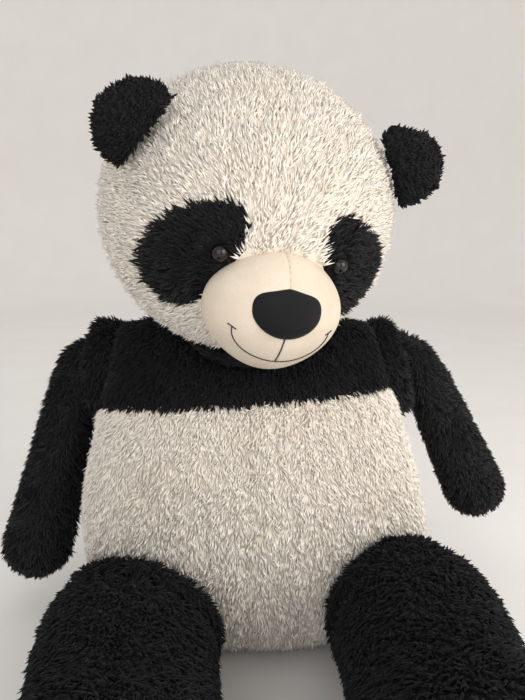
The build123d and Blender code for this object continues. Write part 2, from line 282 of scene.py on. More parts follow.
def mixed(tree: bpy.types.NodeTree, amount: bpy.types.NodeSocket, first: object,
          second: str) -> bpy.types.NodeSocket:
    """Adds a mix of two colours.

    Args:
        tree: The node tree.
        amount: How much of the second colour there is.
        first: A colour's socket, or sRGB hex.
        second: The second colour, as sRGB hex.

    Returns:
        The mixed colour.
    """
    start = linear(first) if isinstance(first, str) else first
    inputs = {"Factor": amount, "A": start, "B": linear(second)}
    node = add_node(tree, "ShaderNodeMix", inputs, data_type="RGBA")
    return node.outputs["Result"]


def spread_to(tree: bpy.types.NodeTree, value: bpy.types.NodeSocket, **limits: float) -> bpy.types.NodeSocket:
    """Adds a map range: limits are its inputs, with an underscore for each space."""
    inputs = {"Value": value} | {key.replace("_", " "): number for key, number in limits.items()}
    return add_node(tree, "ShaderNodeMapRange", inputs).outputs[0]


def bumped(tree: bpy.types.NodeTree, height: bpy.types.NodeSocket, strength: float,
           distance: float) -> bpy.types.NodeSocket:
    """Adds a bump and gives the normal that it makes."""
    node = add_node(tree, "ShaderNodeBump", {"Height": height, "Strength": strength, "Distance": distance})
    return node.outputs[0]


def surfaced(tree: bpy.types.NodeTree, output: bpy.types.Node, inputs: dict) -> None:
    """Adds the shader with those inputs and joins it to the output."""
    tree.links.new(add_node(tree, "ShaderNodeBsdfPrincipled", inputs).outputs[0], output.inputs[0])


# ------------------------------------------------------------------ finishes


@dataclass(frozen=True)
class PileFinish:
    """Long polyester pile: each lock is painted darker at its root and paler at its tip, the darker root being painted
    shade deep in the pile.
    """

    name: str
    slot: str
    root: str
    tip: str
    spread: float
    sheen: float
    grime: str
    grime_size: float = 0.07

    def material(self) -> bpy.types.Material:
        """Makes the material, which reads how far up its lock a point lies and the lock's own tone, and paints shade
        towards each lock's root.
        """
        material, tree, output = new_material(self.name)
        rise = add_node(tree, "ShaderNodeAttribute", attribute_name="rise")
        tone = add_node(tree, "ShaderNodeAttribute", attribute_name="tone")
        # The root colour is painted shade deep in the pile; the mix lightens towards the tip.
        along = add_node(tree, "ShaderNodeMath", {0: rise.outputs["Fac"], 1: 0.6}, operation="POWER")
        lock = mixed(tree, along.outputs[0], self.root, self.tip)
        worn = spread_to(tree, noise(tree, self.grime_size, 3.0), From_Min=0.5, From_Max=0.8, To_Max=0.5)
        shade = spread_to(tree, tone.outputs["Fac"], To_Min=1 - self.spread, To_Max=1 + self.spread)
        varied = add_node(tree, "ShaderNodeVectorMath", {0: mixed(tree, worn, lock, self.grime),
                                                         "Scale": shade}, operation="SCALE")
        surfaced(tree, output, {"Base Color": varied.outputs["Vector"], "Roughness": 0.8,
                                "Specular IOR Level": 0.2, "Sheen Weight": self.sheen,
                                "Sheen Roughness": 0.45})
        return material


@dataclass(frozen=True)
class NapFinish:
    """Velboa: a knit with a 1 mm sheared nap, matt, with fine grain, painted shade in the grain's hollows, and faint
    brushing marks.
    """

    name: str
    slot: str
    colour: str
    shade: str
    sheen: float
    grain: float = 0.0011
    brushing: float = 0.03

    def material(self) -> bpy.types.Material:
        """Makes the material, with the nap as a fine bump, painted darker in the bump's hollows as painted shade, and
        the brushing as a slow change of colour.
        """
        material, tree, output = new_material(self.name)
        slow = noise(tree, self.brushing, 4.0)
        fine = noise(tree, self.grain)
        # The fine grain also darkens the colour where its bump sinks: painted shade in the nap's hollows.
        product = add_node(tree, "ShaderNodeMath", {0: slow, 1: fine}, operation="MULTIPLY")
        amount = spread_to(tree, product.outputs[0], From_Min=0.12, From_Max=0.42)
        surfaced(tree, output, {
            "Base Color": mixed(tree, amount, self.shade, self.colour), "Roughness": 0.85,
            "Specular IOR Level": 0.25, "Sheen Weight": self.sheen, "Sheen Roughness": 0.35,
            "Normal": bumped(tree, fine, 0.35, 0.0006)})
        return material


@dataclass(frozen=True)
class MouldedFinish:
    """Moulded plastic: polished on the eyes, plain on the washers, with a faint swirl in it."""

    name: str
    slot: str
    colour: str
    depth: str
    roughness: float
    coat: float

    def material(self) -> bpy.types.Material:
        """Makes the material, with fine scuffs in its roughness."""
        material, tree, output = new_material(self.name)
        swirl = noise(tree, 1 / 180, 3.0)
        scuffs = spread_to(tree, swirl, To_Min=self.roughness, To_Max=self.roughness * 2)
        surfaced(tree, output, {
            "Base Color": mixed(tree, swirl, self.colour, self.depth), "Roughness": scuffs, "IOR": 1.4,
            "Coat Weight": self.coat, "Coat Roughness": 0.05})
        return material


@dataclass(frozen=True)
class ThreadFinish:
    """Twisted thread or woven satin: fine bands across the surface, painted darker in the grooves between them as
    painted shade, with a soft sheen.
    """

    name: str
    slot: str
    colour: str
    shade: str
    pitch: float

    def material(self) -> bpy.types.Material:
        """Makes the material, with its plies as fine slanted bands, painted darker where their bump sinks."""
        material, tree, output = new_material(self.name)
        place = add_node(tree, "ShaderNodeTexCoord")
        plies = add_node(tree, "ShaderNodeTexWave", {"Vector": place.outputs["Object"],
                                                     "Scale": 1 / (self.pitch * 20), "Distortion": 1.5},
                         bands_direction="DIAGONAL")
        bands = plies.outputs["Fac"]
        # The low part of each band, where the bump sinks, takes the darker colour: painted shade between the plies.
        surfaced(tree, output, {"Base Color": mixed(tree, bands, self.shade, self.colour), "Roughness": 0.55,
                                "Sheen Weight": 0.2, "Normal": bumped(tree, bands, 0.4, 0.0003)})
        return material


class Finish(Enum):
    """Every finish of the toy."""

    # The pile finishes' root colours, their third values, are painted shade deep in the pile.
    CREAM_PILE = PileFinish("cream_polyester_pile", "cream_pile", "#ddd3c4", "#f4eee5", 0.05, 0.12, "#e2d7c6")
    BLACK_PILE = PileFinish("black_polyester_pile", "black_pile", "#030304", "#131417", 0.35, 0.05, "#0b0b0d")
    CREAM_VELBOA = NapFinish("cream_velboa_cloth", "cream_velboa", "#d6cbba", "#c9bba8", 0.08)
    BLACK_VELBOA = NapFinish("black_velboa_cloth", "black_velboa", "#161617", "#0b0b0c", 0.15)
    EYE_PLASTIC = MouldedFinish("polished_black_plastic", "eye_plastic", "#070606", "#140e0a", 0.1, 0.15)
    WASHER_PLASTIC = MouldedFinish("moulded_white_plastic", "washer_plastic", "#dcdbd5", "#cfcdc4", 0.4, 0.0)
    BLACK_THREAD = ThreadFinish("black_embroidery_thread", "black_thread", "#1b1412", "#080606", 0.0006)
    CREAM_THREAD = ThreadFinish("cream_sewing_thread", "cream_thread", "#e3d8c5", "#bdae95", 0.0004)
    LABEL_SATIN = ThreadFinish("white_satin_ribbon", "label_satin", "#f4f2ec", "#dcd9d0", 0.0005)


MATERIALS = {finish: finish.value.material() for finish in Finish}


# ------------------------------------------------------------------ mesh work


def points_of(mesh: bpy.types.Mesh, what: str = "co") -> Array:
    """Reads a mesh's vertex places, or their normals, as rows of three."""
    values = np.empty(len(mesh.vertices) * 3, np.float32)
    mesh.vertices.foreach_get(what, values)
    return values.reshape(-1, 3).astype(float)


def put_points(mesh: bpy.types.Mesh, points: Array) -> None:
    """Writes a mesh's vertex places."""
    mesh.vertices.foreach_set("co", points.astype(np.float32).ravel())
    mesh.update()


def unit(rows: Array) -> Array:
    """Rows of three, each made one long."""
    return rows / np.maximum(np.linalg.norm(rows, axis=1, keepdims=True), 1e-9)


def waves(points: Array, size: float, seed: int) -> Array:
    """Smooth uneven values from about -1 to 1, that change over the given size.

    Args:
        points: Places, as rows of three.
        size: How far apart hills and hollows lie, in metres.
        seed: Chooses one field of values.

    Returns:
        One value for each place.
    """
    rng = np.random.default_rng(seed)
    total = np.zeros(len(points))
    count = 7
    for _ in range(count):
        way = rng.normal(size=3)
        way *= rng.uniform(0.7, 1.5) / np.linalg.norm(way)
        total += np.sin(points @ way * (2 * math.pi / size) + rng.uniform(0, 2 * math.pi))
    return total / math.sqrt(count / 2) / 1.5


def new_piece(name: str, shape: bmesh.types.BMesh) -> bpy.types.Object:
    """Makes an object from a bmesh, smooth shaded, and frees the bmesh."""
    mesh = bpy.data.meshes.new(name)
    shape.to_mesh(mesh)
    shape.free()
    mesh.shade_smooth()
    piece = bpy.data.objects.new(name, mesh)
    bpy.context.scene.collection.objects.link(piece)
    return piece


def merged_copy(name: str, node: str) -> bpy.types.Object:
    """Copies a CAD node's mesh to a new piece, with its loose triangles merged."""
    shape = bmesh.new()
    shape.from_mesh(frame["nodes"][node].data)
    bmesh.ops.remove_doubles(shape, verts=shape.verts, dist=0.02 * MM)
    return new_piece(name, shape)


def apply_modifiers(piece: bpy.types.Object) -> None:
    """Writes what a piece's modifiers make into its mesh and removes them."""
    depsgraph = bpy.context.evaluated_depsgraph_get()
    mesh = bpy.data.meshes.new_from_object(piece.evaluated_get(depsgraph))
    old = piece.data
    piece.modifiers.clear()
    piece.data = mesh
    bpy.data.meshes.remove(old)


def remesh(piece: bpy.types.Object, voxel: float) -> None:
    """Gives a closed piece an even mesh of quads about as large as the voxel."""
    modifier = piece.modifiers.new("even", "REMESH")
    modifier.mode = "VOXEL"
    modifier.voxel_size = voxel
    modifier.use_smooth_shade = True
    apply_modifiers(piece)


def relax(piece: bpy.types.Object, rounds: int) -> None:
    """Smooths a piece's mesh that many times."""
    modifier = piece.modifiers.new("relax", "SMOOTH")
    modifier.factor = 0.5
    modifier.iterations = rounds
    apply_modifiers(piece)


@dataclass(frozen=True)
class Seam:
    """A flat cut through a stuffed form, along which its panels are sewn."""

    point: Vector
    normal: Vector
    depth: float = 3 * MM
    width: float = 7 * MM
    where: Test | None = None

    def pull(self, points: Array) -> Array:
        """How strongly the seam holds each point: 1 on it and 0 away from it."""
        distance = (points - np.array(self.point)) @ np.array(self.normal.normalized())
        held = np.exp(-((distance / self.width) ** 2))
        return held * self.where(points) if self.where else held


def sew(piece: bpy.types.Object, seams: Sequence[Seam]) -> None:
    """Draws a form in along its seams and remembers where they hold it."""
    points = points_of(piece.data)
    normals = points_of(piece.data, "normal")
    held = np.zeros(len(points))
    for seam in seams:
        pull = seam.pull(points)
        points -= normals * (pull * seam.depth)[:, None]
        held = np.maximum(held, pull)
    put_points(piece.data, points)
    group = piece.vertex_groups.new(name="seam")
    for index in np.flatnonzero(held > 0.3):
        group.add([int(index)], float(held[index]), "REPLACE")


def swell(piece: bpy.types.Object, pressure: float, cap: float) -> None:
    """Fills a sewn form with the cloth simulation and keeps the shape it takes.

    Args:
        piece: The closed form, with its seams in a vertex group.
        pressure: How hard the stuffing presses out.
        cap: The furthest that any point may move, in metres.
    """
    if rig.quick():
        return
    scene = bpy.context.scene
    before = points_of(piece.data)
    cloth = piece.modifiers.new("stuffed", "CLOTH")
    cloth.settings.quality = 4
    cloth.settings.use_pressure = True
    cloth.settings.uniform_pressure_force = pressure
    cloth.settings.effector_weights.gravity = 0
    cloth.settings.vertex_group_mass = "seam"
    cloth.point_cache.frame_start = 1
    cloth.point_cache.frame_end = SWELL_FRAMES
    for number in range(1, SWELL_FRAMES + 1):
        scene.frame_set(number)
    evaluated = piece.evaluated_get(bpy.context.evaluated_depsgraph_get())
    move = points_of(evaluated.data) - before
    piece.modifiers.clear()
    scene.frame_set(1)
    length = np.linalg.norm(move, axis=1, keepdims=True)
    put_points(piece.data, before + move * np.minimum(1, cap / np.maximum(length, 1e-9)))


def stuffed_form(name: str, node: str, seams: Sequence[Seam], inset: float = FUR_STAND) -> bpy.types.Object:
    """Makes the cloth surface of a stuffed form from the CAD core that fills it.

    Args:
        name: The form's name.
        node: The CAD stuffing that gives its shape.
        seams: Where its panels are sewn together.
        inset: How far the cloth lies under the CAD core, to leave room for swelling and pile.

    Returns:
        The form, evenly meshed, sewn and filled.
    """
    form = merged_copy(name, node)
    remesh(form, FORM_VOXEL)
    put_points(form.data, points_of(form.data) - points_of(form.data, "normal") * inset)
    return filled(form, seams)


def filled(form: bpy.types.Object, seams: Sequence[Seam]) -> bpy.types.Object:
    """Sews, fills and relaxes an even form."""
    sew(form, seams)
    swell(form, STUFFING_PRESSURE, SWELL_CAP)
    relax(form, 2)
    return form


# ------------------------------------------------------------------ pile


@dataclass(frozen=True)
class Pile:
    """How locks of pile stand on a form: metres for lengths, degrees for how far they lie over."""

    spacing: float = 3.3 * MM
    length: float = 13 * MM
    width: float = 1.9 * MM
    lean: float = 46.0
    swirl: float = 30.0
    lock: float = 15 * MM
    seed: int = 1
    length_range: tuple[float, float] = (0.75, 1.2)
    width_range: tuple[float, float] = (0.75, 1.3)
    droop_range: tuple[float, float] = (0.1, 0.3)
    curl: float = 0.12
    flatness: float = 0.7
    root_depth: float = 1.2 * MM
    lean_drift: float = 14.0
    lean_scatter: float = 9.0
    lean_limits: tuple[float, float] = (8.0, 78.0)
    tone_spread: float = 0.2


def lock_template() -> tuple[Array, Array]:
    """One lock of pile, one wide and one long: a three-sided spike with a ring about half way up.

    Returns:
        Its points and its triangles.
    """
    shape = bmesh.new()
    bmesh.ops.create_cone(shape, cap_ends=True, segments=3, radius1=1, radius2=0, depth=1)
    everything = shape.verts[:] + shape.edges[:] + shape.faces[:]
    bmesh.ops.bisect_plane(shape, geom=everything, plane_co=(0, 0, 0), plane_no=(0, 0, 1))
    bmesh.ops.remove_doubles(shape, verts=shape.verts, dist=1e-4)
    bmesh.ops.triangulate(shape, faces=shape.faces)
    bmesh.ops.recalc_face_normals(shape, faces=shape.faces)
    points = np.array([vert.co[:] for vert in shape.verts])
    faces = np.array([[vert.index for vert in face.verts] for face in shape.faces])
    shape.free()
    points[:, 2] += 0.5
    middle = (points[:, 2] > 0.1) & (points[:, 2] < 0.9)
    points[middle, :2] *= 1.7
    return points, faces


LOCK_POINTS, LOCK_FACES = lock_template()


def scatter(mesh: bpy.types.Mesh, spacing: float, rng: np.random.Generator) -> tuple[Array, Array]:
    """Spreads places evenly but unevenly timed over a mesh, by area.

    Args:
        mesh: The surface.
        spacing: About how far apart the places lie.
        rng: The source of chance.

    Returns:
        The places and the surface's normals there.
    """
    mesh.calc_loop_triangles()
    corners = np.empty(len(mesh.loop_triangles) * 3, np.int32)
    mesh.loop_triangles.foreach_get("vertices", corners)
    corners = corners.reshape(-1, 3)
    places, normals = points_of(mesh), points_of(mesh, "normal")
    a, b, c = (places[corners[:, k]] for k in range(3))
    areas = np.linalg.norm(np.cross(b - a, c - a), axis=1) / 2
    total = areas.cumsum()
    count = int(total[-1] / spacing**2)
    targets = (np.arange(count) + rng.random(count)) * (total[-1] / count)
    chosen = np.searchsorted(total, targets).clip(0, len(areas) - 1)
    u, v = rng.random(count), rng.random(count)
    over = u + v > 1
    u[over], v[over] = 1 - u[over], 1 - v[over]
    weights = np.stack([1 - u - v, u, v], axis=1)
    spots = np.einsum("nk,nkd->nd", weights, places[corners[chosen]])
    ups = np.einsum("nk,nkd->nd", weights, normals[corners[chosen]])
    return spots, unit(ups)


def comb(spots: Array, ups: Array, nap: Array, pile: Pile, rng: np.random.Generator) -> tuple[Array, Array]:
    """Lays each lock over along the nap, with the same swirls in neighbouring locks.

    Args:
        spots: The roots.
        ups: The surface's normals at the roots.
        nap: The way that the pile is brushed, at each root.
        pile: How the locks stand.
        rng: The source of chance.

    Returns:
        Each lock's way along the surface, and the angle that it leans from the normal in radians.
    """
    flat = nap - ups * np.sum(nap * ups, axis=1, keepdims=True)
    flat = unit(flat + 1e-5)
    across = np.cross(ups, flat)
    turn = waves(spots, pile.lock, pile.seed + 11) * pile.swirl
    turn += waves(spots, pile.lock * 4, pile.seed + 12) * pile.swirl * 0.6
    turn = np.radians(turn + rng.normal(size=len(spots)) * pile.swirl * 0.55)
    way = flat * np.cos(turn)[:, None] + across * np.sin(turn)[:, None]
    lean = pile.lean + waves(spots, pile.lock * 1.3, pile.seed + 13) * pile.lean_drift
    lean += rng.normal(size=len(spots)) * pile.lean_scatter
    return way, np.radians(lean.clip(*pile.lean_limits))


def plant(spots: Array, ups: Array, nap: Array, gain: Array, pile: Pile) -> tuple[Array, Array, Array, Array]:
    """Plants a bent, tapered lock at each root.

    Args:
        spots: The roots.
        ups: The surface's normals at the roots.
        nap: The way that the pile is brushed, at each root.
        gain: How much longer or shorter than usual each lock is.
        pile: How the locks stand.

    Returns:
        Points, triangles, each point's height up its lock, and each point's tone.
    """
    rng = np.random.default_rng(pile.seed + 5)
    count = len(spots)
    way, lean = comb(spots, ups, nap, pile, rng)
    length = (pile.length * gain * rng.uniform(*pile.length_range, count))[:, None, None]
    width = (pile.width * rng.uniform(*pile.width_range, count))[:, None, None]
    side = np.cross(ups, way)[:, None, :]
    up, way = ups[:, None, :], way[:, None, :]
    cos_lean, sin_lean = np.cos(lean)[:, None, None], np.sin(lean)[:, None, None]
    x, y, z = (LOCK_POINTS[None, :, k:k + 1] for k in range(3))
    droop = rng.uniform(*pile.droop_range, count)[:, None, None]
    climb = z * cos_lean * (1 - droop * z)
    travel = z * sin_lean + droop * z * z * 0.5
    curl = rng.normal(size=count)[:, None, None] * pile.curl * z * z
    points = spots[:, None, :] - up * pile.root_depth + (up * climb + way * travel + side * curl) * length
    points = points + side * x * width + (up * sin_lean - way * cos_lean) * y * width * pile.flatness
    faces = LOCK_FACES[None] + (np.arange(count) * len(LOCK_POINTS))[:, None, None]
    rise = np.broadcast_to(z, (count, len(LOCK_POINTS), 1))
    drift = waves(spots, pile.lock * 1.5, pile.seed + 3)
    tone = np.clip(0.5 + drift * pile.tone_spread + rng.normal(size=count) * pile.tone_spread, 0, 1)
    tone = np.repeat(tone, len(LOCK_POINTS))
    return points.reshape(-1, 3), faces.reshape(-1, 3), rise.ravel(), tone


def cloth_of(form: bpy.types.Mesh, chosen: Array, thickness: float) -> tuple[Array, Array]:
    """Cuts the chosen faces out of a form and gives them the thickness of cloth.

    Args:
        form: The whole form.
        chosen: True for each face that the panel has.
        thickness: The cloth's thickness, inwards.

    Returns:
        Points and triangles of the closed panel.
    """
    shape = bmesh.new()
    shape.from_mesh(form)
    shape.faces.ensure_lookup_table()
    gone = [face for face, keep in zip(shape.faces[:], chosen) if not keep]
    bmesh.ops.delete(shape, geom=gone, context="FACES")
    if gone:
        loose = [vert for vert in shape.verts if not vert.link_faces]
        bmesh.ops.delete(shape, geom=loose, context="VERTS")
        inwards = {vert.co.to_tuple(7): vert.normal * -thickness for vert in shape.verts}
        lining = bmesh.ops.extrude_face_region(shape, geom=shape.faces[:], use_keep_orig=True)["geom"]
        for vert in lining:
            if isinstance(vert, bmesh.types.BMVert):
                vert.co += inwards[vert.co.to_tuple(7)]
        bmesh.ops.recalc_face_normals(shape, faces=shape.faces)
    bmesh.ops.triangulate(shape, faces=shape.faces)
    shape.verts.index_update()
    points = np.array([vert.co[:] for vert in shape.verts]).reshape(-1, 3)
    faces = np.array([[vert.index for vert in face.verts] for face in shape.faces]).reshape(-1, 3)
    shape.free()
    return points, faces


def mesh_from(name: str, points: Array, faces: Array, rise: Array, tone: Array) -> bpy.types.Object:
    """Makes a piece from points and triangles, with the two values that the pile's material reads."""
    mesh = bpy.data.meshes.new(name)
    mesh.vertices.add(len(points))
    mesh.vertices.foreach_set("co", points.astype(np.float32).ravel())
    mesh.loops.add(faces.size)
    mesh.loops.foreach_set("vertex_index", faces.astype(np.int32).ravel())
    mesh.polygons.add(len(faces))
    mesh.polygons.foreach_set("loop_start", np.arange(0, faces.size, 3, dtype=np.int32))
    mesh.update(calc_edges=True)
    for label, values in (("rise", rise), ("tone", tone)):
        mesh.attributes.new(label, "FLOAT", "POINT").data.foreach_set("value", values.astype(np.float32))
    mesh.shade_smooth()
    piece = bpy.data.objects.new(name, mesh)
    bpy.context.scene.collection.objects.link(piece)
    return piece


@dataclass
class Panel:
    """One sewn panel of pile: its name, finish, the CAD nodes it stands for and where it lies."""

    name: str
    finish: Finish
    nodes: tuple[str, ...]
    inside: Test


@dataclass
class Coat:
    """A form's whole coat of pile, cut into its panels.

    The nap gives the way of brushing at each root, bare is true where no pile stands, and gain makes the
    pile longer or shorter.
    """

    form: bpy.types.Object
    panels: Sequence[Panel]
    nap: Callable[[Array], Array]
    pile: Pile = field(default_factory=Pile)
    bare: Test | None = None
    gain: Test | None = None

    def grow(self) -> dict[str, bpy.types.Object]:
        """Makes every panel with its pile and removes the bare form.

        Returns:
            The panels by name.
        """
        mesh = self.form.data
        rng = np.random.default_rng(self.pile.seed)
        spots, ups = scatter(mesh, self.pile.spacing, rng)
        if self.bare:
            open_ground = ~self.bare(spots)
            spots, ups = spots[open_ground], ups[open_ground]
        centres = np.empty(len(mesh.polygons) * 3, np.float32)
        mesh.polygons.foreach_get("center", centres)
        centres = centres.reshape(-1, 3).astype(float)
        free_faces = np.ones(len(centres), bool)
        free_spots = np.ones(len(spots), bool)
        made = {}
        for panel in self.panels:
            own_faces = free_faces & panel.inside(centres)
            own_spots = free_spots & panel.inside(spots)
            free_faces &= ~own_faces
            free_spots &= ~own_spots
            made[panel.name] = self.piece(panel, own_faces, spots[own_spots], ups[own_spots])
        bpy.data.objects.remove(self.form)
        return made

    def piece(self, panel: Panel, own_faces: Array, spots: Array, ups: Array) -> bpy.types.Object:
        """Makes one panel.

        Args:
            panel: The panel.
            own_faces: True for each of the form's faces that it covers.
            spots: The roots of its pile.
            ups: The form's normals there.

        Returns:
            The panel, dressed in its finish.
        """
        cloth, cloth_faces = cloth_of(self.form.data, own_faces, CLOTH_THICKNESS)
        gain = self.gain(spots) if self.gain else np.ones(len(spots))
        points, faces, rise, tone = plant(spots, ups, self.nap(spots), gain, self.pile)
        points[:, 2] = np.maximum(points[:, 2], FLOOR_CLEAR)
        cloth[:, 2] = np.maximum(cloth[:, 2], FLOOR_CLEAR)
        # The backing cloth takes the locks' root colour and a darker tone than the locks: painted shade under the
        # pile.
        rise = np.concatenate([np.zeros(len(cloth)), rise])
        tone = np.concatenate([np.full(len(cloth), 0.3), tone])
        faces = np.concatenate([cloth_faces, faces + len(cloth)])
        piece = mesh_from(panel.name, np.concatenate([cloth, points]), faces, rise, tone)
        return dress(piece, panel.finish, panel.nodes)


def dress(piece: bpy.types.Object, finish: Finish, nodes: Sequence[str],
          fill: float | None = FILL) -> bpy.types.Object:
    """Gives a piece its finish and names what it stands for.

    Args:
        piece: The piece.
        finish: One of the finishes.
        nodes: The CAD nodes that it replaces.
        fill: How full it is stuffed, or None for what isn't stuffed.

    Returns:
        The same piece.
    """
    piece.data.materials.clear()
    piece.data.materials.append(MATERIALS[finish])
    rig.slot(piece, finish.value.slot)
    if nodes:
        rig.replaces(piece, *nodes)
    if fill is not None:
        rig.padded(piece, fill)
    log.info("%s: %d faces", piece.name, len(piece.data.polygons))
    return piece


def ride_all(pieces: dict[str, bpy.types.Object], body: str) -> None:
    """Makes every piece move with that body."""
    for piece in pieces.values():
        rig.ride(piece, body)


def beyond(point: Sequence[float], normal: Sequence[float]) -> Test:
    """A test that is true on the side of a plane that its normal points to."""
    origin, way = np.array(point), np.array(normal)
    return lambda rows: (rows - origin) @ way > 0


def both(*tests: Test) -> Test:
    """A test that is true where all of the given ones are."""
    return lambda rows: np.logical_and.reduce([test(rows) for test in tests])


def everywhere(rows: Array) -> Array:
    """A test that is always true."""
    return np.ones(len(rows), bool)


def steady(*way: float) -> Test:
    """A nap that is brushed the same way everywhere."""
    return lambda rows: np.broadcast_to(np.array(way), rows.shape)


def span(piece: bpy.types.Object, way: Vector) -> tuple[float, float]:
    """How far a piece reaches along a way, from its lowest place to its highest."""
    places = points_of(piece.data) @ np.array(way)
    return float(places.min()), float(places.max())


def ring_ends(pivot: Vector, way: Vector, *places: float) -> list[Vector]:
    """The points at those places along a line through a pivot."""
    return [pivot + way * (place - pivot.dot(way)) for place in places]


def joint(name: str) -> tuple[Vector, Vector]:
    """A joint's place and its axis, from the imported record."""
    found = next(entry for entry in frame["joints"] if entry["name"] == name)
    return Vector(found["pos_m"]), Vector(found["axis"]).normalized()


# ------------------------------------------------------------------ torso


@dataclass
class Torso:
    """The pear-shaped torso: a black yoke over a light belly in two halves, back, seat, tail and label."""

    yoke_height: float = 333 * MM
    yoke_tilt_x: float = -8.0
    yoke_tilt_y: float = -4.0
    side_seam: float = 22 * MM
    seat_seam: float = 22 * MM
    head_centre: Vector = Vector((0, -63 * MM, 573 * MM))
    head_room: float = 172 * MM

    def build(self) -> None:
        """Makes the torso's pieces and lets them ride on it."""
        tilt = Matrix.Rotation(math.radians(self.yoke_tilt_x), 3, "X")
        tilt = tilt @ Matrix.Rotation(math.radians(self.yoke_tilt_y), 3, "Y")
        up = tilt @ Vector((0, 0, 1))
        yoke_point = Vector((0, 0, self.yoke_height))
        upper = beyond(yoke_point, up)
        front = beyond((0, self.side_seam, 0), (0, -1, 0))
        seat = beyond((0, 0, self.seat_seam), (0, 0, -1))
        left = beyond((0, 0, 0), (1, 0, 0))
        not_upper = beyond(yoke_point, -up)
        seams = [
            Seam(yoke_point, up, 4 * MM, 9 * MM),
            Seam(Vector((0, self.side_seam, 0)), Vector((0, 1, 0))),
            Seam(Vector((0, 0, 0)), Vector((1, 0, 0)), 3.5 * MM, 6 * MM, not_upper),
        ]
        form = stuffed_form("torso_form", "torso_stuffing", seams)
        panels = [
            Panel("seat_pile", Finish.CREAM_PILE, ("seat_panel",), seat),
            Panel("chest_yoke_pile", Finish.BLACK_PILE, ("chest_yoke", "torso_stuffing"), both(upper, front)),
            Panel("upper_back_pile_left", Finish.BLACK_PILE, ("upper_back_left",), both(upper, left)),
            Panel("upper_back_pile_right", Finish.BLACK_PILE, ("upper_back_right",), upper),
            Panel("belly_pile_left", Finish.CREAM_PILE, ("belly_panel_left",), both(front, left)),
            Panel("belly_pile_right", Finish.CREAM_PILE, ("belly_panel_right",), front),
            Panel("lower_back_pile_left", Finish.CREAM_PILE, ("lower_back_left",), left),
            Panel("lower_back_pile_right", Finish.CREAM_PILE, ("lower_back_right",), everywhere),
        ]
        pile = Pile(seed=100, spacing=2.9 * MM, width=1.45 * MM, length=14 * MM, lean=58, swirl=20)
        ride_all(Coat(form, panels, steady(0.0, -0.15, -1.0), pile, self.bare, self.gain).grow(), "torso")
        self.tail()
        self.label()

    def bare(self, spots: Array) -> Array:
        """No pile stands in the hollow under the head, nor under the seat."""
        in_hollow = np.linalg.norm(spots - np.array(self.head_centre), axis=1) < self.head_room - 3 * MM
        return in_hollow | (spots[:, 2] < 12 * MM)

    def gain(self, spots: Array) -> Array:
        """The pile is short where the head rests on it."""
        reach = np.linalg.norm(spots - np.array(self.head_centre), axis=1)
        return np.where(reach < self.head_room + 12 * MM, 0.5, 1.0)

    def tail(self) -> None:
        """Makes the round tail, sewn flat to the lower back."""
        form = stuffed_form("tail_form", "tail_stuffing", [], 3 * MM)
        panels = [Panel("tail_pile", Finish.BLACK_PILE, ("tail_cover", "tail_stuffing"), everywhere)]
        pile = Pile(seed=180, length=12 * MM)
        ride_all(Coat(form, panels, steady(0, 0.5, -1.0), pile).grow(), "torso")

    def label(self) -> None:
        """Makes the blank satin label, a folded ribbon that stands out of the seam beside the tail."""
        low, high = (Vector(corner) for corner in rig.box("care_label"))
        width, height = high.x - low.x, high.z - low.z
        shape = bmesh.new()
        bmesh.ops.create_grid(shape, x_segments=8, y_segments=12, size=0.5)
        for vert in shape.verts:
            along = 0.5 - vert.co.y
            vert.co = Vector((vert.co.x * width, along * along * 14 * MM + 2 * MM * math.sin(vert.co.x * 3),
                              (0.5 - along) * height))
        bmesh.ops.recalc_face_normals(shape, faces=shape.faces)
        bmesh.ops.solidify(shape, geom=shape.faces[:], thickness=0.5 * MM)
        bmesh.ops.translate(shape, verts=shape.verts, vec=Vector(((low.x + high.x) / 2, high.y - 3 * MM,
                                                                 (low.z + high.z) / 2)))
        piece = new_piece("care_ribbon", shape)
        dress(piece, Finish.LABEL_SATIN, ("care_label",), None)
        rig.sheet(piece, flat=(width, height), held="hung", rests_on=["lower_back_left"])
        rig.ride(piece, "torso")


# ------------------------------------------------------------------ head


